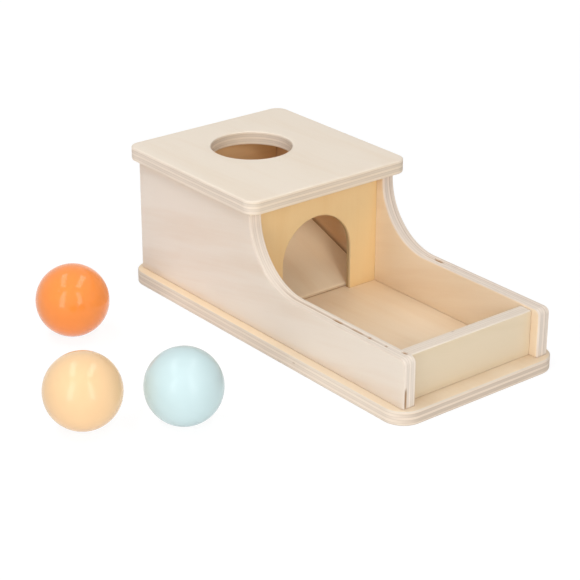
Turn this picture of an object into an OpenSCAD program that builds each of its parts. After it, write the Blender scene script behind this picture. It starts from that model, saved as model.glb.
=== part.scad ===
// Object permanence box: a ball goes in through the round port in the lid, rolls down the ramp
// inside and comes out through the arched doorway into the open tray.
// +X runs along the box towards the tray, +Y across it and +Z up.
// The origin is the middle of the underside of the base.

/* [Base] */
// Length of the base board
base_l = 266; // [240:1:300]
// Width of the base board
base_w = 126; // [116:1:140]
// Thickness of the base board
base_t = 9; // [7:0.5:12]
// Radius of the corners of the base board
base_corner_r = 14; // [6:1:20]
// Margin of the base outside each side panel
side_margin = 6; // [3:0.5:10]
// Margin of the base behind the box
rear_margin = 6; // [3:0.5:10]
// Margin of the base in front of the tray
front_margin = 5; // [3:0.5:10]

/* [Side panels] */
// Height of the side panels under the lid
side_h = 75; // [68:0.5:90]
// Thickness of the side panels
side_t = 9; // [7:0.5:12]
// Length of the tall part of each side panel
tower_l = 116; // [105:1:130]
// Height of the side panels beside the tray
tray_h = 30.5; // [26:0.5:36]
// Radius of the sweep from the tall part down to the tray
sweep_r = 41; // [25:1:43]
// Radius of the upper front corner of each side panel
nose_r = 4; // [3:0.5:8]

/* [Lid] */
// Thickness of the lid
lid_t = 9; // [7:0.5:12]
// How far the lid stands out behind the box
lid_rear_over = 6; // [3:0.5:10]
// How far the lid stands out in front of the tall part
lid_front_over = 8; // [3:0.5:12]
// How far the lid stands out beside each side panel
lid_side_over = 5; // [3:0.5:6]
// Radius of the corners of the lid
lid_corner_r = 8; // [4:1:14]
// Wood between the ball port and the line of the back wall
port_to_back = 9; // [4:0.5:14]

/* [Balls] */
// Diameter of each ball
ball_d = 45; // [44.5:0.1:46]
// Room around a ball in the port
port_clearance = 3.5; // [2:0.5:4.5]
// Room beside a ball in the doorway
door_clearance = 4.5; // [2.5:0.5:8]
// Room over a ball in the doorway, above the tray floor
door_headroom = 11; // [8:0.5:14]

/* [Back wall] */
// Thickness of the back wall
back_t = 9; // [7:0.5:12]

/* [Doorway wall] */
// Thickness of the doorway wall
door_t = 4; // [3:0.5:6]
// Distance of the doorway wall behind the front of the tall part
door_setback = 5.5; // [4:0.5:12]
// Depth of the grooves that hold the doorway wall
groove_depth = 3; // [2:0.5:4]

/* [Ramp] */
// Thickness of the ramp board
ramp_t = 4; // [3.5:0.5:6]
// Slope of the ramp, in degrees
ramp_angle = 20; // [15:1:21]
// Height of the ramp's front edge
ramp_nose_h = 2; // [1:0.5:3]
// Gap between the ramp and each side panel
ramp_side_gap = 0.8; // [0.5:0.1:2.5]
// Depth of the cleat that carries the ramp, front to back
cleat_depth = 12; // [8:1:16]
// Height of the cleat against the back wall
cleat_h = 12; // [9:1:18]
// Distance from each end of the cleat to the side panel
cleat_end_gap = 12; // [4:1:20]

/* [Front rail] */
// Height of the front rail
rail_h = 29; // [24:0.5:34]
// Thickness of the front rail
rail_t = 9; // [7:0.5:12]
// Distance of the rail's face behind the ends of the side panels
rail_setback = 6; // [3:0.5:10]

/* [Fasteners] */
// Diameter of the blind dowels
dowel_d = 4; // [3:0.5:5]
// Depth of a dowel in the edge of a board
dowel_depth = 11; // [8:1:14]
// Diameter of the screws under the base
screw_d = 3; // [2.5:0.1:3.5]
// Length of the screws under the base
screw_l = 20; // [17:1:24]
// Diameter of the screw heads
screw_head_d = 6; // [5.5:0.1:7]

/* [Hidden] */

// Radius of the eased edges of the thick boards, and of the doorway's edges
edge_ease = 1.5;
door_ease = 0.8;
// Steps in an eased edge, in a board's corner and in the sweep of the side panels
ease_steps = 3;
corner_steps = 6;
sweep_steps = 16;
// Overrun of every cut
overrun = 1;
// Gap at the glued end joints, and all round the doorway wall in its grooves
joint_gap = 0.1;
groove_gap = 0.15;
// Gap between the ramp and the walls at its two ends
ramp_end_gap = 0.2;
// Wood left behind a blind dowel hole, room round a dowel and at each of its ends, and its chamfer
dowel_web = 4;
dowel_gap = 0.05;
dowel_end_gap = 0.4;
dowel_chamfer = 0.5;
// Room round a screw and past its tip, how far its head sits in, and the length of its point
screw_gap = 0.05;
screw_tip_gap = 0.5;
screw_sink = 0.3;
screw_point_l = 3;
// Thickness of the rim of a screw head, and the depth, length and width of its cross recess
screw_rim_h = 0.3;
screw_recess_depth = 1.1;
screw_recess_l = 3.4;
screw_recess_w = 0.8;
// Places of the screws along a side panel, as shares of its length
side_screw_shares = [0.08, 0.5, 0.9];
// Places of the dowels along the tall part, as shares of its length
lid_dowel_shares = [0.18, 0.82];
// Places of dowels and screws across the inside of the box, as shares of its width
cross_shares = [-0.28, 0.28];
// Heights of the dowels in the back wall and in the rail, as shares of the height of each
back_dowel_shares = [0.25, 0.75];
rail_dowel_shares = [0.28, 0.72];
// Where the balls stand beside the box, on the surface that it stands on
orange_place = [-85.5, -136.5];
peach_place = [20, -197];
mint_place = [50, -150];

side_l = base_l - rear_margin - front_margin;
side_x = -base_l / 2 + rear_margin;
outer_y = base_w / 2 - side_margin;
inner_y = outer_y - side_t;
side_mid_y = outer_y - side_t / 2;
// The sweep is limited by the wall that it rounds, from the tray's edge up to the lid
sweep_fit_r = min(sweep_r, side_h - tray_h - edge_ease);
floor_z = base_t;
lid_z = floor_z + side_h;
back_x = side_x + back_t;
tower_x = side_x + tower_l;
door_front_x = tower_x - door_setback;
door_rear_x = door_front_x - door_t;
door_half_w = inner_y + groove_depth - groove_gap;
arch_r = ball_d / 2 + door_clearance;
arch_spring_h = ball_d + door_headroom - arch_r;
lid_l = lid_rear_over + tower_l + lid_front_over;
lid_w = 2 * (outer_y + lid_side_over);
lid_x = side_x - lid_rear_over;
port_r = ball_d / 2 + port_clearance;
port_x = back_x + port_to_back + port_r;
rail_x = side_x + side_l - rail_setback - rail_t;
ramp_front_x = door_rear_x - ramp_end_gap;
ramp_rear_x = back_x + ramp_end_gap;
ramp_drop_t = ramp_t / cos(ramp_angle);
dowel_r = dowel_d / 2;
screw_r = screw_d / 2;
screw_head_r = screw_head_d / 2;
screw_head_h = screw_head_r - screw_r;

// Height of the ramp's upper and lower faces over the floor at a place along the box
function ramp_top_h(x) = ramp_nose_h + (ramp_front_x - x) * tan(ramp_angle);
function ramp_under_h(x) = ramp_top_h(x) - ramp_drop_t;

// Points of an arc from angle a0 to angle a1
function arc(centre, r, a0, a1, steps) =
    [for (i = [0:steps]) let (a = a0 + (a1 - a0) * i / steps) centre + r * [cos(a), sin(a)]];

// Outline of a board with round corners, drawn in by d and centred across
function round_rect(l, w, r, d) = concat(
    arc([l - r, w / 2 - r], r - d, 0, 90, corner_steps),
    arc([r, w / 2 - r], r - d, 90, 180, corner_steps),
    arc([r, r - w / 2], r - d, 180, 270, corner_steps),
    arc([l - r, r - w / 2], r - d, 270, 360, corner_steps));

base_outline = function (d) round_rect(base_l, base_w, base_corner_r, d);
lid_outline = function (d) round_rect(lid_l, lid_w, lid_corner_r, d);

// Outline of a side panel: its ends, tray edge and sweep draw in by d, and its top and foot stay
side_outline = function (d) concat(
    [[d, 0], [side_l - d, 0]],
    arc([side_l - nose_r, tray_h - nose_r], nose_r - d, 0, 90, corner_steps),
    arc([tower_l + sweep_fit_r, tray_h + sweep_fit_r], sweep_fit_r + d, 270, 180, sweep_steps),
    [[tower_l - d, side_h], [d, side_h]]);

// Levels of a board's rounded edges, each as its height and how far the outline draws in
function ease_levels(t, ease) = concat(
    [for (i = [0:ease_steps]) let (a = 90 * i / ease_steps) ease * [1 - cos(a), 1 - sin(a)]],
    [for (i = [ease_steps:-1:0]) let (a = 90 * i / ease_steps) [t - ease * (1 - cos(a)), ease * (1 - sin(a))]]);

// Board of thickness t with its edges rounded on both faces. The outline runs anticlockwise, and
// its first point sees all the others, so that each face is a fan of triangles from that point
module eased_board(outline, t, ease) {
    levels = ease_levels(t, ease);
    rings = [for (level = levels) [for (p = outline(level[1])) [p[0], p[1], level[0]]]];
    n = len(rings[0]);
    last = len(rings) - 1;
    walls = [for (k = [0:last - 1], i = [0:n - 1])
        let (j = (i + 1) % n, a = k * n + i, b = k * n + j, c = b + n, d = a + n)
        each [[a, d, c], [a, c, b]]];
    foot = [for (i = [1:n - 2]) [0, i, i + 1]];
    head = [for (face = foot) [for (i = [2:-1:0]) last * n + face[i]]];
    polyhedron([for (ring = rings) each ring], concat(foot, walls, head), convexity = 4);
}

// Half of the section of an opening through a board, from its middle line out, with both rims rounded
function eased_section(r, t, ease) = concat(
    [[0, -overrun], [r + ease, -overrun]],
    [for (level = ease_levels(t, ease)) [r + level[1], level[0]]],
    [[r + ease, t + overrun], [0, t + overrun]]);

// Cutter for a round hole through a board
module eased_hole(r, t, ease) {
    rotate_extrude($fn = 96)
        polygon(eased_section(r, t, ease));
}

// Cutter for a straight opening of height h and half width r, upright in a board whose face lies at y = 0
module eased_slot(r, h, t, ease) {
    linear_extrude(h)
        for (flip = [0, 1])
            mirror([flip, 0])
                polygon(eased_section(r, t, ease));
}

// Dowel of length l standing on its end, with both ends chamfered
module dowel(l) {
    rotate_extrude($fn = 32)
        polygon([[0, 0], [dowel_r - dowel_chamfer, 0], [dowel_r, dowel_chamfer],
                 [dowel_r, l - dowel_chamfer], [dowel_r - dowel_chamfer, l], [0, l]]);
}

// Hole for a dowel or a screw, drilled a given depth each way from the joint between two boards
module joint_hole(r, below, above) {
    translate([0, 0, -below])
        cylinder(h = below + above, r = r, $fn = 32);
}

// Puts its children at each lid joint: on the two side panels and on the back wall
module at_lid_dowels() {
    for (side = [-1, 1], share = lid_dowel_shares)
        translate([side_x + share * tower_l, side * side_mid_y, lid_z])
            children();
    for (share = cross_shares)
        translate([side_x + back_t / 2, share * 2 * inner_y, lid_z])
            children();
}

// Puts its children at the end joints of the back wall, pointing out of the box
module at_back_dowels() {
    for (side = [-1, 1], share = back_dowel_shares)
        translate([side_x + back_t / 2, side * inner_y, floor_z + share * side_h])
            rotate([-side * 90, 0, 0])
                children();
}

// Puts its children at the end joints of the front rail, pointing out of the box
module at_rail_dowels() {
    for (side = [-1, 1], share = rail_dowel_shares)
        translate([rail_x + rail_t / 2, side * inner_y, floor_z + share * rail_h])
            rotate([-side * 90, 0, 0])
                children();
}

// Puts its children at each screw, on the underside of the base
module at_screws() {
    for (side = [-1, 1], share = side_screw_shares)
        translate([side_x + share * side_l, side * side_mid_y, 0])
            children();
    for (x = [side_x + back_t / 2, rail_x + rail_t / 2], share = cross_shares)
        translate([x, share * 2 * inner_y, 0])
            children();
}

module screw() {
    difference() {
        rotate_extrude($fn = 32)
            polygon([[0, 0], [screw_head_r, 0], [screw_head_r, screw_rim_h],
                     [screw_r, screw_rim_h + screw_head_h], [screw_r, screw_l - screw_point_l],
                     [0, screw_l]]);
        for (turn = [0, 90])
            rotate([0, 0, turn])
                translate([-screw_recess_l / 2, -screw_recess_w / 2, -overrun])
                    cube([screw_recess_l, screw_recess_w, overrun + screw_recess_depth]);
    }
}

// Countersunk hole through the base for one screw
module screw_hole_in_base() {
    hole_r = screw_r + screw_gap;
    head_r = screw_head_r + screw_gap;
    rim_z = screw_sink + screw_rim_h + screw_gap;
    rotate_extrude($fn = 32)
        polygon([[0, -overrun], [head_r, -overrun], [head_r, rim_z], [hole_r, rim_z + head_r - hole_r],
                 [hole_r, base_t + overrun], [0, base_t + overrun]]);
}

// Pilot hole for the same screw in the foot of the board above
module screw_pilot() {
    translate([0, 0, floor_z - overrun])
        cylinder(h = overrun + screw_sink + screw_l - base_t + screw_tip_gap, r = screw_r + screw_gap, $fn = 32);
}

module base_board() {
    color("burlywood")
        difference() {
            translate([-base_l / 2, 0, 0])
                eased_board(base_outline, base_t, edge_ease);
            at_screws()
                screw_hole_in_base();
        }
}

// Side panel whose outer face lies at y, with its groove and its blind holes
module side_panel(y) {
    color("wheat")
        difference() {
            translate([side_x, y, floor_z])
                rotate([90, 0, 0])
                    eased_board(side_outline, side_t, edge_ease);
            translate([door_rear_x - groove_gap, -inner_y - groove_depth, floor_z - overrun])
                cube([door_t + 2 * groove_gap, 2 * (inner_y + groove_depth), side_h + 2 * overrun]);
            at_lid_dowels()
                joint_hole(dowel_r + dowel_gap, dowel_depth, overrun);
            at_back_dowels()
                joint_hole(dowel_r + dowel_gap, overrun, side_t - dowel_web);
            at_rail_dowels()
                joint_hole(dowel_r + dowel_gap, overrun, side_t - dowel_web);
            at_screws()
                screw_pilot();
        }
}

module left_side() {
    side_panel(-inner_y);
}

module right_side() {
    side_panel(outer_y);
}

module back_wall() {
    color("tan")
        difference() {
            translate([side_x, -inner_y + joint_gap, floor_z])
                cube([back_t, 2 * (inner_y - joint_gap), side_h]);
            at_lid_dowels()
                joint_hole(dowel_r + dowel_gap, dowel_depth, overrun);
            at_back_dowels()
                joint_hole(dowel_r + dowel_gap, dowel_depth, overrun);
            at_screws()
                screw_pilot();
        }
}

module doorway_wall() {
    color("navajowhite")
        translate([door_rear_x, 0, floor_z])
            difference() {
                translate([0, -door_half_w, 0])
                    cube([door_t, 2 * door_half_w, side_h]);
                translate([0, 0, arch_spring_h])
                    rotate([0, 90, 0])
                        eased_hole(arch_r, door_t, door_ease);
                translate([0, 0, -overrun])
                    rotate([0, 0, -90])
                        eased_slot(arch_r, arch_spring_h + overrun, door_t, door_ease);
            }
}

module lid() {
    color("antiquewhite")
        difference() {
            translate([lid_x, 0, lid_z])
                eased_board(lid_outline, lid_t, edge_ease);
            translate([port_x, 0, lid_z])
                eased_hole(port_r, lid_t, edge_ease);
            at_lid_dowels()
                joint_hole(dowel_r + dowel_gap, overrun, lid_t - dowel_web);
        }
}

// Sloping board, planed flat under its front edge so that it lies on the base
module ramp() {
    heel_x = ramp_front_x - (ramp_drop_t - ramp_nose_h) / tan(ramp_angle);
    half_w = inner_y - ramp_side_gap;
    color("peru")
        translate([0, half_w, floor_z])
            rotate([90, 0, 0])
                linear_extrude(2 * half_w)
                    polygon([[heel_x, 0], [ramp_front_x, 0], [ramp_front_x, ramp_nose_h],
                             [ramp_rear_x, ramp_top_h(ramp_rear_x)], [ramp_rear_x, ramp_under_h(ramp_rear_x)]]);
}

// Batten on the back wall, planed to the slope of the ramp that lies on it
module ramp_cleat() {
    front_x = back_x + cleat_depth;
    foot_h = ramp_under_h(back_x) - cleat_h;
    half_l = inner_y - cleat_end_gap;
    color("sienna")
        translate([0, half_l, floor_z])
            rotate([90, 0, 0])
                linear_extrude(2 * half_l)
                    polygon([[back_x, foot_h], [front_x, foot_h], [front_x, ramp_under_h(front_x)],
                             [back_x, ramp_under_h(back_x)]]);
}

module front_rail() {
    half_l = inner_y - joint_gap;
    color("moccasin")
        difference() {
            translate([rail_x, half_l, floor_z])
                rotate([90, 0, 0])
                    linear_extrude(2 * half_l)
                        polygon(concat(
                            [[0, 0], [rail_t, 0]],
                            arc([rail_t - edge_ease, rail_h - edge_ease], edge_ease, 0, 90, corner_steps),
                            arc([edge_ease, rail_h - edge_ease], edge_ease, 90, 180, corner_steps)));
            at_rail_dowels()
                joint_hole(dowel_r + dowel_gap, dowel_depth, overrun);
            at_screws()
                screw_pilot();
        }
}

module base_screws() {
    color("silver")
        at_screws()
            translate([0, 0, screw_sink])
                screw();
}

module lid_dowels() {
    color("saddlebrown")
        at_lid_dowels()
            translate([0, 0, dowel_end_gap - dowel_depth])
                dowel(dowel_depth + lid_t - dowel_web - 2 * dowel_end_gap);
}

module back_dowels() {
    color("saddlebrown")
        at_back_dowels()
            translate([0, 0, dowel_end_gap - dowel_depth])
                dowel(dowel_depth + side_t - dowel_web - 2 * dowel_end_gap);
}

module rail_dowels() {
    color("saddlebrown")
        at_rail_dowels()
            translate([0, 0, dowel_end_gap - dowel_depth])
                dowel(dowel_depth + side_t - dowel_web - 2 * dowel_end_gap);
}

// Turned ball that stands on the surface beside the box
module ball(place, paint) {
    color(paint)
        translate([place[0], place[1], ball_d / 2])
            sphere(d = ball_d, $fn = 96);
}

module ball_orange() {
    ball(orange_place, "orangered");
}

module ball_peach() {
    ball(peach_place, "peachpuff");
}

module ball_mint() {
    ball(mint_place, "paleturquoise");
}

base_board();
left_side();
right_side();
back_wall();
doorway_wall();
lid();
ramp();
ramp_cleat();
front_rail();
base_screws();
lid_dowels();
back_dowels();
rail_dowels();
ball_orange();
ball_peach();
ball_mint();
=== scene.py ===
"""Object permanence box: a plywood box with a round ball port, a hidden ramp, an arched doorway and
an open tray, with its three painted balls standing beside it."""

import math

import bpy
import numpy as np
from mathutils import Matrix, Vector
from mathutils.geometry import delaunay_2d_cdt


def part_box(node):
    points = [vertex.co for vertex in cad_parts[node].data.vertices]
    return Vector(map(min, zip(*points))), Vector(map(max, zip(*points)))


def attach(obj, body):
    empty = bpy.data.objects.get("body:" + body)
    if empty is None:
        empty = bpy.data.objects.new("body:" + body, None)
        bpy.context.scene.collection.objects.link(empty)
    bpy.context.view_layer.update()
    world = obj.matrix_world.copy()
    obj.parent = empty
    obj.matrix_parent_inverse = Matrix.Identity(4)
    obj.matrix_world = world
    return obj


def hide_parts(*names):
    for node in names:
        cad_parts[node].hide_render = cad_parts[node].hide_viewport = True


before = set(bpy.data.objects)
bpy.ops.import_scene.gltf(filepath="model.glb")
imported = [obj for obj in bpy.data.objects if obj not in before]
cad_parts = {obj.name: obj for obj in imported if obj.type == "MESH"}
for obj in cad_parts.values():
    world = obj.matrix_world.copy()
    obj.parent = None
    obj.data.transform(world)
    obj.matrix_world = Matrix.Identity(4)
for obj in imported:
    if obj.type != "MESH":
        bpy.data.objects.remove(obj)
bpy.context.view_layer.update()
bpy.context.scene.view_settings.view_transform = "Standard"

# The camera stands off the front left corner and looks down on the lid and into the tray.
# Its place and turn were fitted to the edges of the boards in the photograph.
image_size = 580.0
focal_pixels = 1816.65
sensor_width = 36.0
camera_place = (0.784028, -0.663737, 0.484436)
camera_azimuth = math.radians(51.2702)
camera_elevation = math.radians(24.2859)
camera_roll = math.radians(0.153)
camera = bpy.data.objects.new("camera", bpy.data.cameras.new("camera"))
camera.data.sensor_width = sensor_width
camera.data.lens = sensor_width * focal_pixels / image_size
camera.data.clip_start = 0.01
camera.data.clip_end = 50.0
camera.matrix_world = (
    Matrix.Translation(camera_place)
    @ Matrix.Rotation(camera_azimuth, 4, "Z")
    @ Matrix.Rotation(math.pi / 2 - camera_elevation, 4, "X")
    @ Matrix.Rotation(camera_roll, 4, "Z")
)
bpy.context.scene.collection.objects.link(camera)
bpy.context.scene.camera = camera


# The base is one board of five-ply wood with large round corners and eased edges. It is cut out on
# a router and sanded, and the ten screws that hold the walls go up through it.
def srgb(red, green, blue):
    """Linear colour of a paint written as it looks on a screen, each part from 0 to 255."""
    share = np.array((red, green, blue)) / 255
    linear = np.where(share > 0.04045, ((share + 0.055) / 1.055) ** 2.4, share / 12.92)
    return (*linear.tolist(), 1.0)


class Field:
    """An output of a shader node. Arithmetic on fields adds the Math nodes that work it out."""

    def __init__(self, finish, socket):
        self.finish, self.socket = finish, socket

    def math(self, operation, *others):
        sockets = dict(enumerate((self, *others)))
        return self.finish.node("Math", {"operation": operation}, sockets)

    def also(self, output):
        """Another output of the same node."""
        return Field(self.finish, self.socket.node.outputs[output])

    def soft_step(self, low, high):
        """0 below low, 1 above high and a smooth rise between them."""
        sockets = {"Value": self, "From Min": low, "From Max": high}
        return self.finish.node("MapRange", {"interpolation_type": "SMOOTHSTEP"}, sockets)

    def __add__(self, other):
        return self.math("ADD", other)

    def __mul__(self, other):
        return self.math("MULTIPLY", other)

    def __sub__(self, other):
        return self.math("SUBTRACT", other)

    def __rsub__(self, other):
        return self.finish.node("Math", {"operation": "SUBTRACT"}, {0: other, 1: self})

    def __abs__(self):
        return self.math("ABSOLUTE")

    __radd__ = __add__


class Finish:
    """A procedural material, made of nodes that one method adds."""

    def __init__(self, name):
        self.material = bpy.data.materials.new(name)
        self.material.use_nodes = True
        self.tree = self.material.node_tree
        self.tree.nodes.clear()

    def node(self, kind, settings=None, sockets=None, output=0):
        """Adds a node, makes its settings, then gives each socket its value or its link."""
        made = self.tree.nodes.new("ShaderNode" + kind)
        for name, value in (settings or {}).items():
            if name == "stops":
                self.set_stops(made.color_ramp, value)
            else:
                setattr(made, name, value)
        for name, value in (sockets or {}).items():
            if isinstance(value, Field):
                self.tree.links.new(value.socket, made.inputs[name])
            else:
                made.inputs[name].default_value = value
        return Field(self, made.outputs[output]) if made.outputs else None

    def set_stops(self, ramp, stops):
        """Gives a colour ramp its stops, each a place and a grey. A ramp keeps one stop or more, so
        the last of its old ones goes after the new ones have come."""
        while len(ramp.elements) > 1:
            ramp.elements.remove(ramp.elements[-1])
        for place, grey in stops:
            stop = ramp.elements.new(place)
            stop.color = (grey, grey, grey, 1.0)
        ramp.elements.remove(ramp.elements[0])

    def grain(self, scales, detail=2.0, roughness=0.5):
        """Noise on a place whose three parts are stretched one by one, from 0 to 1."""
        sockets = {"Vector": scales, "Scale": 1.0, "Detail": detail, "Roughness": roughness}
        return self.node("TexNoise", None, sockets)

    def vector(self, x, y, z):
        return self.node("CombineXYZ", None, {0: x, 1: y, 2: z})

    def mix(self, factor, first, second):
        """The first colour where the factor is 0 and the second where it is 1."""
        sockets = {0: factor, 6: first, 7: second}
        return self.node("Mix", {"data_type": "RGBA"}, sockets, output=2)

    def tinted(self, colour, shares):
        """A colour with only a share of its red, green and blue left."""
        return self.node("VectorMath", {"operation": "MULTIPLY"}, {0: colour, 1: shares})

    def surface(self, colour, roughness, height, depth, **constants):
        """Ends the material in one Principled shader, whose bump rises by depth metres."""
        bump = self.node("Bump", None, {"Height": height, "Distance": depth, "Strength": 1.0})
        sockets = {"Base Color": colour, "Roughness": roughness, "Normal": bump}
        sockets.update({name.replace("_", " "): value for name, value in constants.items()})
        shader = self.node("BsdfPrincipled", None, sockets)
        self.node("OutputMaterial", None, {"Surface": shader})
        return self.material


def plywood(name, axes, low, thickness, face, back, figure, light, dark, plies,
            cut, tone, tilt, seed, turned=0.0, end_cut=None, **lay):
    """Plywood whose layers are worked out from the depth in the board. Axes are the world axes
    along the face grain, across it and through the board, which may be turned about y. The even
    layers have their grain along the face's, and the layers between lie across it.
    Face and back are the colours of the low and the high face, figure is the share of them that
    the figure leaves, and tilt is its angle. On the edges a layer goes from light towards dark by
    cut where its grain runs along the edge (by end_cut at the ends of the board), and the cross
    layers go by tone all round. Lay's far and high-face drifts are a colour that the low or the
    high face drifts to between two places along it, which paints light and shade along the face.
    Its other entries are the share of each colour left in one place, all painted shade: ends on
    the edges across the grain, for the shade of the front ends, rim on the sanded arrises, against
    their highlight, and foot where an edge rounds to the floor, for its contact shadow."""
    end_cut = cut if end_cut is None else end_cut
    wood = Finish(name)
    place = wood.node("TexCoord", None, None, "Object")
    normal = place.also("Normal")
    if turned:
        turn = {"Axis": (0.0, 1.0, 0.0), "Angle": turned, "Center": (0.0, 0.0, 0.0)}
        place = wood.node("VectorRotate", None, {"Vector": place, **turn})
        normal = wood.node("VectorRotate", None, {"Vector": normal, **turn})
    place = wood.node("SeparateXYZ", None, {0: place})
    normal = wood.node("SeparateXYZ", None, {0: normal})
    flat_u, flat_v, through = (place.also(axis) for axis in axes)
    normal_u, normal_v, normal_w = (normal.also(axis) for axis in axes)
    along_face = flat_u + (wood.grain(wood.vector(flat_u * 20, flat_v * 90, seed)) - 0.5) * 0.03
    along = flat_u * math.cos(tilt) + flat_v * math.sin(tilt) + seed
    across = flat_v * math.cos(tilt) - flat_u * math.sin(tilt)

    # Depth in the board, from 0 to 1, with glue lines that wander a little along the edge
    wander = wood.grain(wood.vector(flat_u * 45, flat_v * 45, through * 90 + seed), 1.0)
    depth = (through - low) * (1 / thickness) + (wander - 0.5) * 0.05
    soft = 0.012
    glue_half = 0.00009 / thickness
    stops, cross = [(0.0, 0.0)], 0.0
    for line in plies:
        stops += [(line - soft, cross), (line + soft, 1.0 - cross)]
        cross = 1.0 - cross
    cross = wood.node("ValToRGB", {"stops": stops}, {"Fac": depth})
    lines = [(0.0, 0.0)]
    for line in plies:
        lines += [(line - 2 * glue_half, 0.0), (line, 1.0), (line + 2 * glue_half, 0.0)]
    glue = wood.node("ValToRGB", {"stops": lines}, {"Fac": depth})

    # The face shows where the surface lies along the board, and the layers show on its edges
    on_face = abs(normal_w).soft_step(0.72, 0.97)
    on_edge = 1 - on_face
    long_u = normal_v * normal_v
    long_v = normal_u * normal_u
    long_grain = (1 - cross) * long_u + cross * long_v

    # Face figure: broad growth bands, narrow streaks, fibres and short pores, all along the grain
    bands = wood.grain(wood.vector(along * 7, across * 55, through * 40 + seed), 3.0)
    streaks = wood.grain(wood.vector(along * 22, across * 420, through * 300), 2.0)
    fibres = wood.grain(wood.vector(along * 150, across * 3200, through * 1500), 2.0, 0.6)
    pores = wood.grain(wood.vector(along * 420, across * 5200, through * 2600), 1.0)
    pores = pores.soft_step(0.66, 0.78)
    bloom = wood.grain(wood.vector(along * 11, across * 16, seed * 3), 2.0)
    figured = (bands.soft_step(0.4, 0.75) * 0.7 + (bloom - 0.5) * 0.9 + (streaks - 0.5) * 0.35
               + (fibres - 0.5) * 0.3)
    near_back = depth.soft_step(0.4, 0.6)
    # Painted light and shade: the faces drift lighter or darker along the board as the light on
    # them does
    if "far" in lay:
        far, start, stop = lay["far"]
        face = wood.mix(along_face.soft_step(start, stop), face, far)
    if "high_far" in lay:
        far, start, stop = lay["high_far"]
        back = wood.mix(along_face.soft_step(start, stop), back, far)
    face_colour = wood.mix(near_back, face, back)
    face_colour = wood.mix(figured, face_colour, wood.tinted(face_colour, figure))
    face_colour = wood.mix(pores * 0.16, face_colour, dark)

    # Edge: fine lines along the layers where the grain runs along, specks where it is cut across
    threads = wood.grain(wood.vector(flat_u * 60, flat_v * 60, through * 3000), 2.0, 0.6)
    specks = wood.grain(wood.vector(flat_u * 2300, flat_v * 2300, through * 2300), 1.0)
    drift = wood.grain(wood.vector(flat_u * 28, flat_v * 28, through * 500 + seed), 2.0)
    layer = cross * (long_v * end_cut + tone) + (1 - cross) * long_u * cut + (drift - 0.5) * 0.5
    layer = layer + (threads - 0.5) * 0.5 * long_grain + (specks - 0.5) * 0.45 * (1 - long_grain)
    edge_colour = wood.mix(layer, light, dark)
    edge_colour = wood.mix(glue * (0.15 + drift * 0.4), edge_colour, glue_brown)
    # Painted shade: the edges across the grain, at the board's ends, are darker for the shade of
    # the front ends
    if "ends" in lay:
        edge_colour = wood.mix(long_v, edge_colour, wood.tinted(edge_colour, lay["ends"]))
    # Painted shade: edges that face down to the floor are darkened as a contact shadow
    if "foot" in lay:
        floor_painted_shade = (0 - normal_w).soft_step(0.1, 0.6)
        edge_colour = wood.mix(floor_painted_shade, edge_colour, wood.tinted(edge_colour, lay["foot"]))

    colour = wood.mix(on_edge, face_colour, edge_colour)
    # Painted shade: the arrises are darkened against the highlight that the lamps put on them
    if "rim" in lay:
        arris_painted_shade = abs(normal_w).soft_step(0.15, 0.6) * (1 - abs(normal_w).soft_step(0.8, 1.0))
        colour = wood.mix(arris_painted_shade, colour, wood.tinted(colour, lay["rim"]))
    # Voids, dark joints and the ramp's lines of painted shade take a dark brown
    flaw_and_painted_shade = wood.node("Attribute", {"attribute_name": "flaw_and_painted_shade"}, None, "Fac")
    colour = wood.mix(flaw_and_painted_shade, colour, void_and_painted_shade_brown)
    roughness = 0.5 + on_edge * 0.1 + (fibres - 0.5) * 0.12 + pores * 0.1
    height = (fibres * 0.6 + streaks * 0.4 - pores * 0.7) * on_face
    height = height + (threads * long_grain + specks * (1 - long_grain) - glue * 0.6) * on_edge
    return wood.surface(colour, roughness, height, grain_depth, Specular_IOR_Level=wood_gloss)


def arc(centre, radius, start, stop, hollow=False):
    """Rows of an arc from one angle to another, in degrees. A row is a place and the way that it
    moves when the wood draws back by one: towards the centre, or away from it on a hollow arc."""
    length = radius * math.radians(abs(stop - start))
    steps = max(math.ceil(length / edge_spacing), least_arc_steps)
    angle = np.radians(np.linspace(start, stop, steps + 1))
    ray = np.stack([np.cos(angle), np.sin(angle)], 1)
    return np.hstack([np.array(centre) + radius * ray, ray if hollow else -ray])


def trace(rows, spacing):
    """Closed outline through the rows, with points no more than one spacing apart between them.
    Each row is stepped towards the next in equal parts, the place and the draw-back alike."""
    rows = np.vstack(rows).astype(float)
    ahead = np.roll(rows, -1, 0)
    length = np.linalg.norm((ahead - rows)[:, :2], axis=1)
    parts = np.maximum(np.ceil(length / spacing - step_slack), length > no_length).astype(int)
    row = np.repeat(np.arange(len(rows)), parts)
    step = np.arange(parts.sum()) - np.repeat(np.cumsum(parts) - parts, parts)
    share = (step / parts[row])[:, None]
    return rows[row] * (1 - share) + ahead[row] * share


def eased_levels(thickness, ease, spacing, flaws_and_painted_shade):
    """Heights through a board and the draw-back at each: a quarter circle, a straight wall and a
    quarter circle, so that both its edges are rounded. More heights lie close round each void and
    each line of painted shade."""
    turn = np.linspace(0, math.pi / 2, ease_steps + 1)
    count = max(int(round((thickness - 2 * ease) / spacing)), 1)
    wall = np.linspace(ease, thickness - ease, count + 1)[1:-1]
    rise = ease * (1 - np.cos(turn))
    near = [level + width * flaw_steps for _, level, _, width, _, _ in flaws_and_painted_shade]
    height = np.concatenate([rise, wall, thickness - rise[::-1], *near])
    height = np.unique(np.clip(height, 0, thickness).round(6))
    reach = np.clip(ease - np.minimum(height, thickness - height), 0, ease)
    return height, ease - np.sqrt(ease**2 - reach**2)


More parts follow.
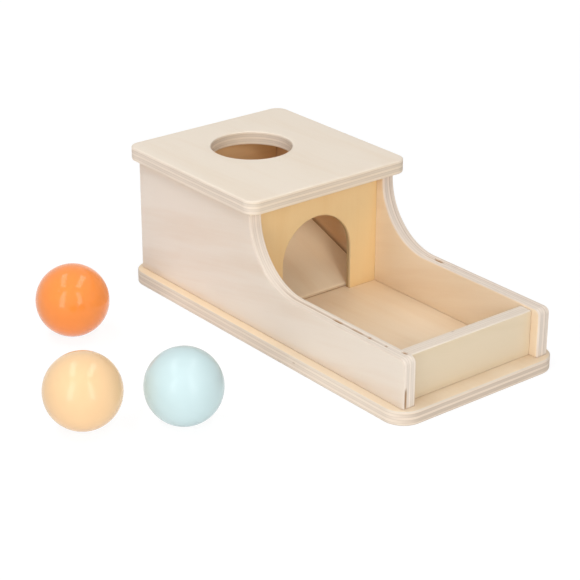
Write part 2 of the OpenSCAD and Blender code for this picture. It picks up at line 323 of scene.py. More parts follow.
def inside(points, loops):
    """True for each point that lies in the region that the loops bound, by counting the edges that
    a ray from the point crosses: an odd count is inside, so a loop in a loop is a hole."""
    start = np.vstack(loops)
    end = np.vstack([np.roll(loop, -1, 0) for loop in loops])
    x, y = points[:, :1], points[:, 1:2]
    spans = (start[:, 1] > y) != (end[:, 1] > y)
    rise = np.where(end[:, 1] == start[:, 1], 1.0, end[:, 1] - start[:, 1])
    crossing = start[:, 0] + (y - start[:, 1]) * (end[:, 0] - start[:, 0]) / rise
    return (spans & (x < crossing)).sum(1) % 2 == 1


def flat_face(loops, spacing):
    """Triangles that fill the region between the loops. Points on a hexagonal grid are set inside
    it, and a constrained Delaunay triangulation joins them and the loops. The loops' points come
    first in the points that it returns."""
    rim = np.vstack(loops)
    low, high = rim.min(0), rim.max(0)
    row_height, clearance = spacing * math.sqrt(0.75), spacing * 0.7
    column, row = np.meshgrid(
        np.arange(low[0], high[0], spacing), np.arange(low[1], high[1], row_height)
    )
    column[1::2] += spacing / 2
    grid = np.stack([column.ravel(), row.ravel()], 1)
    grid = grid[inside(grid, loops)]
    gap = np.linalg.norm(grid[:, None] - rim[None, ::3], axis=2).min(1)
    points = np.vstack([rim, grid[gap > clearance]])
    ends = np.cumsum([len(loop) for loop in loops])
    after = np.arange(1, len(rim) + 1)
    after[ends - 1] = ends - [len(loop) for loop in loops]
    edges = np.stack([np.arange(len(rim)), after], 1)
    made = delaunay_2d_cdt(points.tolist(), edges.tolist(), [], 1, merge_distance)
    corners = np.array([tuple(corner) for corner in made[0]])
    triangles = np.array(made[2])
    if loops[1:]:
        middle = corners[triangles].mean(1)
        triangles = triangles[~inside(middle, loops[1:])]
    return corners, triangles, np.array([first[0] for first in made[3]])


def board(name, loops, thickness, ease, at, through, relief=0.0, flaws_and_painted_shade=(), seams=(),
          spacing=0.0004):
    """Closed board in a plane. A wall point is its outline's place, moved by the outline's own
    draw-back times the amount at that height, and each face fills the region between the walls.
    At is the board's origin, and through its three directions. Relief is how far the sanding
    leaves the softer layers hollow on the edges. The voids, and on the ramp its lines of painted
    shade, are each a place on the outline, a height, a length along the edge, a width, a depth and
    a tone: the wall sinks there by the depth times a smooth bump, and the attribute for voids and
    painted shade keeps the bump times the tone for the colour. Seams are the axis and place of each
    edge of the outline that meets another board in a dark joint."""
    height, draw = eased_levels(thickness, ease, spacing, flaws_and_painted_shade)
    walls, marks, quads, rims, count = [], [], [], [], 0
    for loop in loops:
        place, away = loop[None, :, :2], loop[None, :, 2:]
        sunk = np.zeros((len(height), len(loop)))
        mark = np.zeros_like(sunk)
        for spot, level, length, width, depth, tone in flaws_and_painted_shade:
            far = np.linalg.norm(loop[:, :2] - spot, axis=1)[None] / length
            bump = np.exp(-((far**4 + ((height[:, None] - level) / width) ** 2) ** 2))
            sunk = np.maximum(sunk, bump * depth)
            mark = np.maximum(mark, bump * tone)
        for axis, edge in seams:
            mark[1:-1, abs(loop[:, axis] - edge) < same_place] = seam_tone
        layer = np.cos(height / thickness * ply_count * math.pi)[:, None] * relief / 2
        flat = place + away * (draw[:, None] + sunk + layer + relief / 2)[:, :, None]
        level = np.broadcast_to(height[:, None, None], flat.shape[:2] + (1,))
        walls.append(np.concatenate([flat, level], 2).reshape(-1, 3))
        marks.append(mark.ravel())
        grid = np.arange(flat.shape[0] * flat.shape[1]).reshape(flat.shape[:2]) + count
        beside = np.roll(grid, -1, 1)
        quads.append(np.stack([grid[:-1], beside[:-1], beside[1:], grid[1:]], 2).reshape(-1, 4))
        rims.append((grid[0], grid[-1]))
        count += grid.size
    walls, marks = np.vstack(walls), np.concatenate(marks)
    vertices, faces = [walls], [*np.vstack(quads).tolist()]
    for side in (0, 1):
        rim = np.concatenate([rim[side] for rim in rims])
        edges = [walls[pair[side], :2] for pair in rims]
        corners, triangles, source = flat_face(edges, face_spacing)
        number = np.where(source < len(rim), rim[np.minimum(source, len(rim) - 1)], -1)
        fresh = number < 0
        number[fresh] = count + np.arange(fresh.sum())
        count += fresh.sum()
        level = np.full((fresh.sum(), 1), thickness * side)
        vertices.append(np.hstack([corners[fresh], level]))
        triangles = number[triangles]
        faces += (triangles if side else triangles[:, ::-1]).tolist()
    vertices = np.vstack(vertices)
    marks = np.concatenate([marks, np.zeros(len(vertices) - len(marks))])
    origin, directions = np.array(at), np.array(through, float)
    if np.linalg.det(directions) < 0:
        faces = [face[::-1] for face in faces]
    return closed_mesh(name, origin + vertices @ directions, faces, marks)


def closed_mesh(name, vertices, faces, marks=None):
    """Object for a closed surface, with the value at each vertex of the attribute that marks voids,
    dark joints and painted shade.
    """
    mesh = bpy.data.meshes.new(name)
    mesh.from_pydata(np.asarray(vertices).tolist(), [], faces)
    mesh.validate()
    if marks is not None:
        mesh.attributes.new("flaw_and_painted_shade", "FLOAT", "POINT").data.foreach_set("value", marks)
    piece = bpy.data.objects.new(name, mesh)
    bpy.context.scene.collection.objects.link(piece)
    shade(mesh)
    return piece


def shade(mesh):
    """Shades a mesh smooth but for the edges whose two faces meet at more than the sharp angle.
    The cosine between two faces is the product of their normals."""
    edge = np.empty(len(mesh.loops), np.int32)
    mesh.loops.foreach_get("edge_index", edge)
    total = np.empty(len(mesh.polygons), np.int32)
    mesh.polygons.foreach_get("loop_total", total)
    normal = np.empty(len(mesh.polygons) * 3)
    mesh.polygons.foreach_get("normal", normal)
    face = np.repeat(np.arange(len(total)), total)
    pair = face[np.argsort(edge, kind="stable")].reshape(-1, 2)
    normal = normal.reshape(-1, 3)
    cosine = (normal[pair[:, 0]] * normal[pair[:, 1]]).sum(1)
    sharp = mesh.attributes.get("sharp_edge")
    if sharp is None:
        sharp = mesh.attributes.new("sharp_edge", "BOOLEAN", "EDGE")
    sharp.data.foreach_set("value", cosine < math.cos(sharp_angle))
    mesh.polygons.foreach_set("use_smooth", np.ones(len(total), bool))
    mesh.update()


def block(low, high):
    """Vertices and faces of a closed box."""
    (x0, y0, z0), (x1, y1, z1) = low, high
    vertices = [(x, y, z) for z in (z0, z1) for y in (y0, y1) for x in (x0, x1)]
    level = [(0, 2, 3, 1), (4, 5, 7, 6)]
    upright_sides = [(0, 1, 5, 4), (2, 6, 7, 3), (0, 4, 6, 2), (1, 3, 7, 5)]
    return vertices, level + upright_sides


def hole(start, inward, profile):
    """Vertices and faces of a closed turned form: rings round the inward axis, each with a radius
    and a depth from the start, and a flat face at both ends."""
    side = np.roll(inward, 1)
    turn = np.linspace(0, math.tau, hole_sides, endpoint=False)[:, None]
    ring = np.cos(turn) * side + np.sin(turn) * np.cross(inward, side)
    rings = [start + np.array(inward) * depth + ring * radius for radius, depth in profile]
    grid = np.arange(len(rings) * hole_sides).reshape(len(rings), hole_sides)
    beside = np.roll(grid, -1, 1)
    quads = np.stack([grid[:-1], beside[:-1], beside[1:], grid[1:]], 2).reshape(-1, 4)
    caps = [grid[0, ::-1].tolist(), grid[-1].tolist()]
    return np.vstack(rings).tolist(), quads.tolist() + caps


def cut_out(piece, forms):
    """Cuts closed forms out of a board."""
    vertices, faces = [], []
    for corners, sides in forms:
        faces += [[corner + len(vertices) for corner in side] for side in sides]
        vertices += corners
    cutter = closed_mesh("cutter", vertices, faces)
    cut = piece.modifiers.new("cut", "BOOLEAN")
    cut.operation, cut.solver, cut.object = "DIFFERENCE", "MANIFOLD", cutter
    seen = piece.evaluated_get(bpy.context.evaluated_depsgraph_get())
    whole, left = piece.data, bpy.data.meshes.new_from_object(seen)
    piece.modifiers.clear()
    left.materials.clear()
    piece.data = left
    shade(left)
    used = cutter.data
    bpy.data.objects.remove(cutter)
    for spare in (used, whole):
        bpy.data.meshes.remove(spare)


def finished(piece, material, body, node):
    """Puts the finish on a piece, which rides on its body and stands for its CAD node."""
    piece.data.materials.append(material)
    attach(piece, body)
    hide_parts(node)


def rounded(low, high, radius):
    """Outline rows of a rectangle with round corners."""
    (x0, y0), (x1, y1) = low, high
    return [
        arc((x1 - radius, y0 + radius), radius, -90, 0),
        arc((x1 - radius, y1 - radius), radius, 0, 90),
        arc((x0 + radius, y1 - radius), radius, 90, 180),
        arc((x0 + radius, y0 + radius), radius, 180, 270),
    ]


face_spacing = 0.006
edge_spacing = 0.001
same_place = 0.00001
merge_distance = 1e-7
no_length = 1e-9
step_slack = 0.01
sharp_angle = math.radians(40)
least_arc_steps = 10
ease_steps = 6
hole_sides = 32
ease = 0.001
past = 0.001
ply_count = 5
ply_relief = 0.00003
grain_depth = 0.000015
wood_gloss = 0.4
seam_tone = 0.55
flaw_steps = np.linspace(-1.5, 1.5, 7)
up, down = (0.0, 0.0, 1.0), (0.0, 0.0, -1.0)
glue_brown = srgb(150, 122, 96)
# Brown of voids, dark joints and lines of painted shade
void_and_painted_shade_brown = srgb(150, 108, 58)
flat_board = ((1, 0, 0), (0, 1, 0), (0, 0, 1))
base_low, base_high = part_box("base_board")
base_thickness = base_high.z - base_low.z
base_corner = 0.014
base_outline = trace(rounded(base_low.xy, base_high.xy, base_corner), edge_spacing)
base_flaws = [((0.0387, -0.063), 0.0051, 0.0011, 0.0006, 0.0002, 0.35)]
side_middles = (-0.0525, 0.0525)
cross_middles = (-0.02688, 0.02688)
back_middle, rail_middle = -0.1225, 0.1175
wall_screws = [(x, y) for x in (-0.1066, 0.0005, 0.1025) for y in side_middles]
back_places = [(back_middle, y) for y in cross_middles]
rail_places = [(rail_middle, y) for y in cross_middles]
screw_hole_radius = 0.00155
screw_head_radius = 0.00305
screw_head_flat = 0.00065
pilot_depth = 0.0118
screw_cone = screw_head_radius - screw_hole_radius
screw_profile = [
    (screw_head_radius, -past), (screw_head_radius, screw_head_flat),
    (screw_hole_radius, screw_head_flat + screw_cone), (screw_hole_radius, base_thickness + past),
]
pilot_profile = [(screw_hole_radius, -past), (screw_hole_radius, pilot_depth)]
base_board = board(
    "base_board_wood", [base_outline], base_thickness, ease, (0, 0, base_low.z), flat_board,
    ply_relief, base_flaws,
)
screw_places = wall_screws + back_places + rail_places
cut_out(base_board, [hole((x, y, base_low.z), up, screw_profile) for x, y in screw_places])
# Painted light and shade: the tray floor is lighter by the doorway, against the box's shade there,
# and darker to the front
# Painted shade: the end edges are darker for the front end's shade, the arrises against their
# highlight and the foot for its contact shadow
base_wood = plywood(
    "base_plywood", "XYZ", base_low.z, base_thickness,
    face=srgb(228, 206, 176), back=srgb(243, 221, 190), figure=(0.91, 0.84, 0.75),
    light=srgb(241, 226, 209), dark=srgb(216, 200, 183), plies=(0.2, 0.41, 0.6, 0.8),
    cut=0.5, tone=0.1, tilt=0.05, seed=1.7, high_far=(srgb(233, 213, 186), -0.02, 0.06),
    ends=(0.9, 0.88, 0.86), end_cut=0.8, foot=(0.8, 0.78, 0.75), rim=(0.9, 0.92, 0.93),
)
finished(base_board, base_wood, "box", "base_board")


# The side panels are the same plywood, tall at the lidded end and swept down in a quarter circle to
# the tray. Their foot and top edges are left square, and all the other edges are eased by hand.
side_low, side_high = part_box("left_side")
side_thickness = side_high.y - side_low.y
arris = 0.3
tower_length = 0.116
tray_top = 0.0395
sweep_radius = 0.041
nose_radius = 0.004
tower_x = side_low.x + tower_length
side_rows = [
    (side_low.x, side_low.z, 1, arris),
    (side_high.x, side_low.z, -1, arris),
    arc((side_high.x - nose_radius, tray_top - nose_radius), nose_radius, 0, 90),
    arc((tower_x + sweep_radius, tray_top + sweep_radius), sweep_radius, 270, 180, hollow=True),
    (tower_x, side_high.z, -1, -arris),
    (side_low.x, side_high.z, 1, -arris),
]
side_outline = trace(side_rows, edge_spacing)
upright = ((1, 0, 0), (0, 0, 1), (0, 1, 0))
panel_seams = [(1, side_low.z), (1, side_high.z)]
groove_depth = 0.003
groove_gap = 0.00015
dowel_hole_radius = 0.00205
depth_in_end, depth_in_face = 0.011, 0.005
end_hole = [(dowel_hole_radius, -past), (dowel_hole_radius, depth_in_end)]
face_hole = [(dowel_hole_radius, -past), (dowel_hole_radius, depth_in_face)]
lid_dowel_places = [(x, y) for x in (-0.1061, -0.0319) for y in side_middles]
back_dowel_places = [(back_middle, z) for z in (0.02775, 0.06525)]
rail_dowel_places = [(rail_middle, z) for z in (0.01712, 0.02988)]


def joints(inner, outward):
    """Forms cut out of a side panel: the doorway wall's groove, and the holes for dowels and
    screws. Inner is the y of its inner face, and outward is the sign of y on its outer side."""
    groove_low, groove_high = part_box("doorway_wall")
    near, far = sorted((inner - outward * past, inner + outward * groove_depth))
    groove = block(
        (groove_low.x - groove_gap, near, side_low.z - past),
        (groove_high.x + groove_gap, far, side_high.z + past),
    )
    level = [hole((x, inner, z), (0.0, outward, 0.0), face_hole)
             for x, z in back_dowel_places + rail_dowel_places]
    above = [hole((x, y, side_high.z), down, end_hole)
             for x, y in lid_dowel_places if y * outward > 0]
    below = [hole((x, y, side_low.z), up, pilot_profile)
             for x, y in wall_screws if y * outward > 0]
    return [groove, *level, *above, *below]


left_flaws = [
    ((0.1280, 0.0150), 0.0018, 0.0068, 0.00080, 0.0003, 0.9),
    ((0.0600, tray_top), 0.0044, 0.0470, 0.00070, 0.0001, 0.45),
    ((0.0660, tray_top), 0.0044, 0.0045, 0.00080, 0.0010, 1.0),
    ((0.0830, tray_top), 0.0045, 0.0060, 0.00075, 0.0004, 0.75),
    ((0.0935, tray_top), 0.0045, 0.0016, 0.00080, 0.0008, 1.0),
    ((0.1075, tray_top), 0.0046, 0.0012, 0.00060, 0.0003, 0.7),
    ((0.1203, tray_top), 0.0072, 0.0019, 0.00085, 0.0009, 0.9),
    ((0.0020, 0.0575), 0.0042, 0.0013, 0.00070, 0.0003, 0.6),
]
left_side = board(
    "left_side_wood", [side_outline], side_thickness, ease, (0, side_low.y, 0), upright,
    ply_relief, left_flaws, panel_seams,
)
cut_out(left_side, joints(side_high.y, -1.0))
# Painted shade: the outer face drifts a little darker towards the tray, and the arrises are
# darkened against their highlight
left_wood = plywood(
    "left_side_plywood", "XZY", side_low.y, side_thickness,
    face=srgb(242, 230, 217), back=srgb(242, 214, 180), figure=(0.93, 0.86, 0.80),
    light=srgb(238, 225, 211), dark=srgb(216, 203, 189), plies=(0.24, 0.42, 0.6, 0.79),
    cut=0.45, tone=0.05, tilt=0.2, seed=4.1, far=(srgb(235, 222, 207), -0.10, 0.06),
    rim=(0.88, 0.85, 0.83),
)
finished(left_side, left_wood, "box", "left_side")

right_low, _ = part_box("right_side")
right_flaws = [
    ((0.0372, tray_top), 0.0050, 0.0036, 0.00100, 0.0012, 1.0),
    ((0.0200, 0.0500), 0.0057, 0.1300, 0.00022, 0.0001, 0.4),
    ((0.0350, tray_top), 0.0040, 0.0090, 0.00040, 0.0003, 0.4),
]
right_side = board(
    "right_side_wood", [side_outline], side_thickness, ease, (0, right_low.y, 0), upright,
    ply_relief, right_flaws, panel_seams,
)
cut_out(right_side, joints(right_low.y, 1.0))
# Painted light and shade: the inner face is darker and warmer inside the box and drifts lighter
# towards the tray's front, where light falls on it
# Painted shade: the arrises are darkened against their highlight
right_wood = plywood(
    "right_side_plywood", "XZY", right_low.y, side_thickness,
    face=srgb(226, 187, 143), back=srgb(240, 226, 211), figure=(0.91, 0.84, 0.77),
    light=srgb(236, 222, 208), dark=srgb(212, 199, 186), plies=(0.2, 0.42, 0.62, 0.82),
    cut=0.45, tone=0.15, tilt=0.3, seed=8.3, far=(srgb(238, 218, 190), -0.055, -0.02),
    rim=(0.93, 0.91, 0.89),
)
finished(right_side, right_wood, "box", "right_side")


# The back wall closes the tall end between the side panels. It is a plain board, glued and
# dowelled to them and to the lid, and screwed to the base.
back_low, back_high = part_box("back_wall")
back_thickness = back_high.x - back_low.x
small_ease = 0.0004


def rectangle(low, high, ends, foot, top):
    """Outline rows of a rectangle whose ends, foot and top draw back by their own shares."""
    (x0, y0), (x1, y1) = low, high
    return [
        (x0, y0, ends, foot), (x1, y0, -ends, foot),
        (x1, y1, -ends, -top), (x0, y1, ends, -top),
    ]


def end_joints(low, high, places):
    """Dowel holes along y, into both ends of a board that stands across the box."""
    ends = [(low.y, 1.0), (high.y, -1.0)]
    return [hole((x, y, z), (0.0, inward, 0.0), end_hole) for x, z in places for y, inward in ends]


across_box = ((0, 1, 0), (0, 0, 1), (1, 0, 0))
back_outline = trace(
    [rectangle((back_low.y, back_low.z), (back_high.y, back_high.z), 1, 1, 1)], edge_spacing
)
back_seams = [(0, back_low.y), (0, back_high.y), (1, back_low.z), (1, back_high.z)]
back_wall = board(
    "back_wall_wood", [back_outline], back_thickness, small_ease, (back_low.x, 0, 0), across_box,
    ply_relief, (), back_seams,
)
cut_out(back_wall, [
    *(hole((x, y, back_high.z), down, end_hole) for x, y in back_places),
    *(hole((x, y, back_low.z), up, pilot_profile) for x, y in back_places),
    *end_joints(back_low, back_high, back_dowel_places),
])
# Painted shade: the inner face is darker and warmer than the outer one, for the warm shade inside
# the box
back_wood = plywood(
    "back_wall_plywood", "YZX", back_low.x, back_thickness,
    face=srgb(238, 224, 209), back=srgb(236, 201, 154), figure=(0.80, 0.70, 0.62),
    light=srgb(236, 222, 207), dark=srgb(208, 194, 179), plies=(0.2, 0.4, 0.6, 0.8),
    cut=0.5, tone=0.1, tilt=0.0, seed=11.9,
)
finished(back_wall, back_wood, "box", "back_wall")


# The doorway wall is a thin golden board, let into grooves in the side panels. Its arched doorway
# is sawn from the foot up, and only the rim of the doorway is eased.
door_low, door_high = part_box("doorway_wall")
door_thickness = door_high.x - door_low.x
door_ease = 0.0008
doorway_half = 0.027
doorway_spring = 0.038
door_rows = [
    (door_low.y, door_low.z, arris, arris),
    (-doorway_half, door_low.z, -1, arris),
    arc((0, doorway_spring), doorway_half, 180, 0, hollow=True),
    (doorway_half, door_low.z, 1, arris),
    (door_high.y, door_low.z, -arris, arris),
    (door_high.y, door_high.z, -arris, -arris),
    (door_low.y, door_high.z, arris, -arris),
]
door_outline = trace(door_rows, edge_spacing)
door_seams = [(1, door_low.z), (1, door_high.z)]
doorway_wall = board(
    "doorway_wall_wood", [door_outline], door_thickness, door_ease, (door_low.x, 0, 0), across_box,
    seams=door_seams,
)
door_wood = plywood(
    "doorway_wall_plywood", "ZYX", door_low.x, door_thickness,
    face=srgb(246, 208, 152), back=srgb(239, 209, 157), figure=(0.945, 0.875, 0.78),
    light=srgb(218, 192, 148), dark=srgb(178, 152, 112), plies=(0.1, 0.62),
    cut=0.05, tone=0.9, tilt=0.03, seed=14.2,
)
finished(doorway_wall, door_wood, "box", "doorway_wall")


# The lid is one more board, glued and dowelled over the tall end. Its round ball port is cut with a
# hole cutter and eased at both rims, and its corners are rounded less than those of the base.
lid_low, lid_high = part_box("lid")
lid_thickness = lid_high.z - lid_low.z
lid_corner = 0.008
port_centre = (-0.083, 0.0)
port_radius = 0.026
port = trace([arc(port_centre, port_radius, 360, 0, hollow=True)[:-1]], edge_spacing * 2)
lid_outline = trace(rounded(lid_low.xy, lid_high.xy, lid_corner), edge_spacing)
lid = board(
    "lid_wood", [lid_outline, port], lid_thickness, ease, (0, 0, lid_low.z), flat_board,
    ply_relief,
)
cut_out(lid, [hole((x, y, lid_low.z), up, face_hole) for x, y in lid_dowel_places + back_places])
# Painted shade: the underside is warmer than the top, for the warm shade inside the box, and the
# end edges are darker for the shade of the front end
lid_wood = plywood(
    "lid_plywood", "XYZ", lid_low.z, lid_thickness,
    face=srgb(246, 214, 170), back=srgb(240, 227, 210), figure=(0.955, 0.91, 0.86),
    light=srgb(242, 228, 212), dark=srgb(208, 194, 178), plies=(0.25, 0.44, 0.62, 0.8),
    cut=0.05, tone=0.42, tilt=0.04, seed=17.5, ends=(0.96, 0.94, 0.89),
)
finished(lid, lid_wood, "box", "lid")


# The ramp is a thin board that falls from the back wall to the doorway. It is planed flat under its
# front edge, so that it lies on the base, and a pine cleat on the back wall carries its high end.
ramp_low, ramp_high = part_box("ramp")
ramp_slope = math.radians(20.0)
ramp_thickness = 0.004
nose_height = 0.002
ramp_rise = (ramp_high.x - ramp_low.x) * math.tan(ramp_slope)
ramp_drop = ramp_thickness / math.cos(ramp_slope)
heel_x = ramp_high.x - (ramp_drop - nose_height) / math.tan(ramp_slope)
nose_arris = 0.0004
nose_top = ramp_low.z + nose_height
ramp_spacing = 0.002
ramp_rows = [
    (heel_x, ramp_low.z, 0, 0),
    (ramp_high.x - nose_arris, ramp_low.z, -1, 0),
    (ramp_high.x, ramp_low.z + nose_arris, -1, 0),
    (ramp_high.x, ramp_low.z + nose_arris * 2, -1, 0),
    (ramp_high.x, nose_top - nose_arris, -1, 0),
    (ramp_high.x - nose_arris, nose_top + nose_arris * math.tan(ramp_slope), -1, 0),
    (ramp_low.x, nose_top + ramp_rise, 0, 0),
    (ramp_low.x, nose_top + ramp_rise - ramp_drop, 0, 0),
]
ramp_outline = trace([ramp_rows], ramp_spacing)
ramp_width = ramp_high.y - ramp_low.y
# Painted shade: a dark line along the nose's foot on the base, as its contact shadow, and one along
# the right-hand edge, for the shade in the gap by the right panel
ramp_painted_shade_lines = [
    ((ramp_high.x, ramp_low.z + nose_arris / 2), ramp_width / 2, 0.0005, 1.0, 0.0001, 0.7),
    ((ramp_high.x, ramp_low.z), ramp_width - 0.0002, 1.0, 0.0005, 0.0003, 1.0),
]
ramp = board(
    "ramp_wood", [ramp_outline], ramp_width, small_ease, (0, ramp_low.y, 0), upright,
    flaws_and_painted_shade=ramp_painted_shade_lines, seams=[(1, ramp_low.z)], spacing=ramp_spacing * 2,
)
ramp_foot = nose_top - ramp_drop
ramp_depth = ramp_foot * math.cos(ramp_slope) + ramp_high.x * math.sin(ramp_slope)
# Painted light and shade: the top drifts lighter towards the nose, where more light comes in
# through the doorway, and the edge colours are dark to hold down the light on the nose
ramp_wood = plywood(
    "ramp_plywood", "XYZ", ramp_depth, ramp_thickness,
    face=srgb(228, 208, 180), back=srgb(229, 206, 172), figure=(0.91, 0.85, 0.79),
    light=srgb(212, 189, 160), dark=srgb(190, 166, 137), plies=(0.33, 0.67),
    cut=0.5, tone=0.1, tilt=0.0, seed=20.6, turned=-ramp_slope,
    high_far=(srgb(238, 219, 189), -0.06, -0.02),
)
finished(ramp, ramp_wood, "box", "ramp")


def timber(name, pale, ring, axes, spacing, seed):
    """Solid wood with fibres and growth rings. The rings lie a spacing apart across the grain, and
    slow noise bends them."""
    wood = Finish(name)
    place = wood.node("TexCoord", None, None, "Object")
    place = wood.node("SeparateXYZ", None, {0: place})
    along, across, deep = (place.also(axis) for axis in axes)
    bend = wood.grain(wood.vector(along * 12, across * 60, deep * 60 + seed), 2.0)
    rings = ((across + deep * 0.4 + bend * spacing * 3) * (math.tau / spacing)).math("SINE")
    fibres = wood.grain(wood.vector(along * 150, across * 2800, deep * 2800), 2.0, 0.6)
    shade_of = rings.soft_step(-0.2, 1.0) * 0.6 + (fibres - 0.5) * 0.5
    colour = wood.mix(shade_of, pale, ring)
    roughness = 0.6 + (fibres - 0.5) * 0.15
    return wood.surface(colour, roughness, fibres, fibre_depth, Specular_IOR_Level=wood_gloss)


def dress(node, material):
    """Gives a CAD node its finish."""
    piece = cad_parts[node]
    piece.data.materials.clear()
    piece.data.materials.append(material)


fibre_depth = 0.00004
pine_pale, pine_ring, pine_rings = srgb(232, 206, 162), srgb(206, 164, 108), 0.0026
dress("ramp_cleat", timber("cleat_pine", pine_pale, pine_ring, "YXZ", pine_rings, 2.3))


# The front rail closes the tray. It stands back from the ends of the side panels, and its upper
# edges are eased. It is glued and dowelled between the panels, which leaves a fine joint line.
rail_low, rail_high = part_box("front_rail")
rail_thickness = rail_high.x - rail_low.x
rail_outline = trace(
    [rectangle((rail_low.y, rail_low.z), (rail_high.y, rail_high.z), arris, arris, 1)], edge_spacing
)
rail_flaws = [
    ((rail_low.y, rail_high.z), 0.0060, 0.0012, 0.0007, 0.0008, 0.5),
    ((rail_high.y, rail_high.z), 0.0066, 0.0009, 0.0005, 0.0004, 0.35),
    ((-0.008, rail_high.z), 0.0014, 0.0011, 0.0004, 0.0002, 0.6),
]
rail_seams = [(0, rail_low.y), (0, rail_high.y), (1, rail_low.z)]
front_rail = board(
    "front_rail_wood", [rail_outline], rail_thickness, ease, (rail_low.x, 0, 0), across_box,
    ply_relief, rail_flaws, rail_seams,
)
cut_out(front_rail, [
    *(hole((x, y, rail_low.z), up, pilot_profile) for x, y in rail_places),
    *end_joints(rail_low, rail_high, rail_dowel_places),
])
rail_wood = plywood(
    "front_rail_plywood", "YZX", rail_low.x, rail_thickness,
    face=srgb(232, 208, 176), back=srgb(226, 209, 181), figure=(0.915, 0.89, 0.82),
    light=srgb(236, 223, 208), dark=srgb(206, 192, 177), plies=(0.2, 0.4, 0.6, 0.8),
    cut=0.2, tone=0.25, tilt=-0.22, seed=23.8,
)
finished(front_rail, rail_wood, "box", "front_rail")


# Ten zinc-plated countersunk screws hold the walls to the base from below, and beech dowels line up
# the glued joints inside the boards.
zinc = Finish("screw_zinc")
zinc_place = zinc.node("TexCoord", None, None, "Object")
zinc_mottle = zinc.node("TexNoise", None, {"Vector": zinc_place, "Scale": 900.0, "Detail": 3.0})
zinc_colour = zinc.mix(zinc_mottle, srgb(176, 178, 180), srgb(214, 212, 204))
zinc_roughness, mottle_depth = 0.28 + zinc_mottle * 0.2, 0.00001
zinc_steel = zinc.surface(zinc_colour, zinc_roughness, zinc_mottle, mottle_depth, Metallic=1.0)
dress("base_screws", zinc_steel)
beech_pale, beech_ring, beech_rings = srgb(226, 190, 148), srgb(196, 150, 108), 0.0011
for place, axes, seed in (("lid", "ZXY", 5.1), ("back", "YXZ", 6.4), ("rail", "YXZ", 7.7)):
    beech = timber(f"{place}_dowel_beech", beech_pale, beech_ring, axes, beech_rings, seed)
    dress(f"{place}_dowels", beech)


# The balls are turned from solid wood, sanded and dipped in a glossy toy paint. The turning leaves
# slow rings that only the reflections show, and a small pin mark at one pole from the dipping.
def turned_ball(name, node, pole_turn, pole_lean):
    """Closed ball on a grid of rings and meridians. Its radius is the CAD ball's less a ripple that
    runs round the turning axis and less a small dimple at one pole."""
    low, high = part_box(node)
    centre = np.array((low + high) / 2)
    radius = (high.z - low.z) / 2
    rings, meridians = 96, 160
    ripple_depth = 0.000012
    dimple_depth, dimple_width = 0.00025, 0.0007
    polar = np.linspace(0, math.pi, rings + 1)[1:-1, None]
    turn = np.linspace(0, math.tau, meridians, endpoint=False)[None]
    ripple = ripple_depth * (1 + np.sin(polar * 23) * np.cos(polar * 5))
    dimple = dimple_depth * np.exp(-((polar * radius / dimple_width) ** 2))
    reach = radius - ripple - dimple
    ball = np.stack(
        [reach * np.sin(polar) * np.cos(turn), reach * np.sin(polar) * np.sin(turn),
         reach * np.cos(polar) * np.ones_like(turn)], 2,
    ).reshape(-1, 3)
    north_sink, south_sink = 0.00027, 0.00001
    poles = np.array([(0, 0, radius - north_sink), (0, 0, south_sink - radius)])
    grid = np.arange(len(ball)).reshape(rings - 1, meridians)
    beside = np.roll(grid, -1, 1)
    quads = np.stack([grid[:-1], grid[1:], beside[1:], beside[:-1]], 2).reshape(-1, 4)
    north = np.stack([np.full(meridians, len(ball)), grid[0], beside[0]], 1)
    south = np.stack([np.full(meridians, len(ball) + 1), beside[-1], grid[-1]], 1)
    turned = np.array(Matrix.Rotation(pole_turn, 3, "Z") @ Matrix.Rotation(pole_lean, 3, "X"))
    vertices = np.vstack([ball, poles]) @ turned.T + centre
    return closed_mesh(name, vertices, quads.tolist() + north.tolist() + south.tolist())


def toy_paint(name, colour, deep, gloss, haze, matt, seed):
    """Glossy paint over wood: a slow change of depth in the colour and a skin that is hardly wavy.
    Gloss is the clear coat's share and haze its roughness, and matt is that of the paint below."""
    paint = Finish(name)
    place = paint.node("TexCoord", None, None, "Object")
    depth = paint.node("TexNoise", None, {"Vector": place, "Scale": 38.0 + seed, "Detail": 2.0})
    skin = paint.node("TexNoise", None, {"Vector": place, "Scale": 260.0 + seed, "Detail": 2.0})
    tint = paint.mix(depth.soft_step(0.35, 0.75) * 0.5, colour, deep)
    return paint.surface(
        tint, matt + skin * 0.08, skin, skin_depth,
        Coat_Weight=gloss, Coat_Roughness=haze, Specular_IOR_Level=0.1,
    )


# Each ball's paint, the paint where it lies thick, gloss, haze, matt, the turn and lean of its
# poles and the seed of its noise
skin_depth = 0.000006
ball_paints = [
    ("orange", srgb(251, 146, 62), srgb(248, 139, 54), 0.8, 0.1, 0.34, 0.6, 0.9, 1.3),
    ("peach", srgb(246, 206, 157), srgb(244, 202, 151), 0.85, 0.135, 0.7, 2.4, 1.2, 2.9),
    ("mint", srgb(203, 225, 227), srgb(198, 222, 224), 0.6, 0.12, 0.7, 4.0, 0.7, 4.7),
]
for paint_name, colour, deep, gloss, haze, matt, pole_turn, pole_lean, seed in ball_paints:
    ball = turned_ball(f"{paint_name}_ball_painted", f"ball_{paint_name}", pole_turn, pole_lean)
    paint = toy_paint(f"{paint_name}_paint", colour, deep, gloss, haze, matt, seed)
    finished(ball, paint, f"{paint_name}_ball", f"ball_{paint_name}")


# The box stands on a plain white floor in soft light from all round. Two tall soft boxes in front
# and two long ones overhead show as streaks on the balls. The fill lamps beside and above them, and
# the small one under the lid that lights the ramp, are hidden from the gloss.
def straight_views(finish):
    """1 for the camera's rays and for those that gloss or glass sends on, and 0 for all others."""
    rays = finish.node("LightPath", None, None, "Is Camera Ray")
    return rays + rays.also("Is Glossy Ray") + rays.also("Is Transmission Ray")


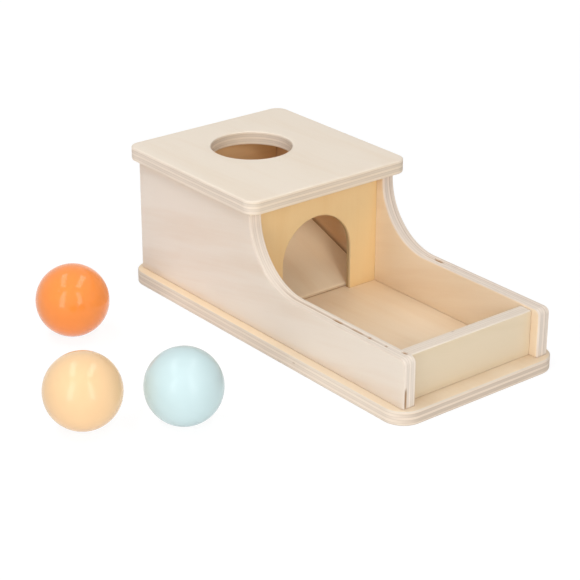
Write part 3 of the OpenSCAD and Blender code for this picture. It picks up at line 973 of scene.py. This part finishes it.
white = srgb(255, 255, 255)
floor_half = 6.0
floor_corners = [
    (-floor_half, -floor_half, 0), (floor_half, -floor_half, 0),
    (floor_half, floor_half, 0), (-floor_half, floor_half, 0),
]
floor_mesh = bpy.data.meshes.new("floor")
floor_mesh.from_pydata(floor_corners, [], [(0, 1, 2, 3)])
floor = bpy.data.objects.new("floor", floor_mesh)
bpy.context.scene.collection.objects.link(floor)

# The floor glows for the camera, a little more far out where less light falls, and its chalk share
# takes the shadows
glow_share, glow_near, glow_more = 0.82, 1.1, 0.06
near_floor, far_floor = 0.35, 0.95
floor_white = Finish("floor_white")
spot = floor_white.node("TexCoord", None, None, "Object")
away = floor_white.node("VectorMath", {"operation": "LENGTH"}, {0: spot}, "Value")
strength = glow_near + away.soft_step(near_floor, far_floor) * glow_more
chalk = floor_white.node("BsdfDiffuse", None, {"Color": srgb(233, 233, 233)})
glow = floor_white.node("Emission", None, {"Color": white, "Strength": strength})
share = straight_views(floor_white) * glow_share
mixed = floor_white.node("MixShader", None, {0: share, 1: chalk, 2: glow})
floor_white.node("OutputMaterial", None, {"Surface": mixed})
floor_mesh.materials.append(floor_white.material)


class Room(Finish):
    """The world's nodes, added in the same way."""

    def __init__(self, name):
        self.world = bpy.data.worlds.new(name)
        self.world.use_nodes = True
        self.tree = self.world.node_tree
        self.tree.nodes.clear()


room = Room("white_room")
light = room.node("Background", None, {"Color": white, "Strength": 0.1})
backdrop = room.node("Background", None, {"Color": white, "Strength": 1.0})
walls = room.node("MixShader", None, {0: straight_views(room), 1: light, 2: backdrop})
room.node("OutputWorld", None, {"Surface": walls})
bpy.context.scene.world = room.world


def soft_box(name, size, radiance, azimuth, place, tip, glossy=True):
    """Area lamp of a given radiance, whose power is that times its area and pi. It is turned to its
    azimuth from the front of the box, moved out to its place there and tipped down from upright."""
    width, length = size
    lamp_data = bpy.data.lights.new(name, "AREA")
    lamp_data.shape = "RECTANGLE"
    lamp_data.size, lamp_data.size_y = width, length
    lamp_data.energy = radiance * math.pi * width * length
    lamp = bpy.data.objects.new(name, lamp_data)
    lamp.visible_camera = False
    lamp.visible_glossy = glossy
    turned = Matrix.Rotation(math.radians(azimuth), 4, "Z") @ Matrix.Translation(place)
    lamp.matrix_world = turned @ Matrix.Rotation(math.radians(90 - tip), 4, "X")
    bpy.context.scene.collection.objects.link(lamp)


tall, tall_near, hung = (0.42, 1.6), (0.28, 1.07), (0.4, 1.4)
sheet, narrow, small = (0.9, 0.7), (0.4, 0.7), (0.07, 0.06)
hung_left, hung_right, hung_turn = (-0.721, -0.099), (0.53, 0.078), 45
box_height, fill_height = 1.52, 1.53
fill_place, fill_tip = (0, -1.576, 0.637), 22
soft_box("soft_box_left", tall, 2.4, 20.5, (0, -1.5, 0.8), 0)
soft_box("soft_box_right", tall_near, 2.2, 84.0, (-0.165, -0.963, 0.535), 0)
soft_box("soft_box_over_left", hung, 2.2, hung_turn, (*hung_left, box_height), 90)
soft_box("soft_box_over_right", hung, 2.6, hung_turn, (*hung_right, box_height), 90)
soft_box("fill_over_left", hung, 5.2, hung_turn, (*hung_left, fill_height), 90, glossy=False)
soft_box("fill_over_right", hung, 1.0, hung_turn, (*hung_right, fill_height), 90, glossy=False)
soft_box("fill_inside", small, 0.27, 0, (-0.06, 0.014, 0.0835), 90, glossy=False)
soft_box("fill_left", sheet, 2.4, 25, fill_place, fill_tip, glossy=False)
soft_box("fill_right", narrow, 8.1, 73, fill_place, fill_tip, glossy=False)
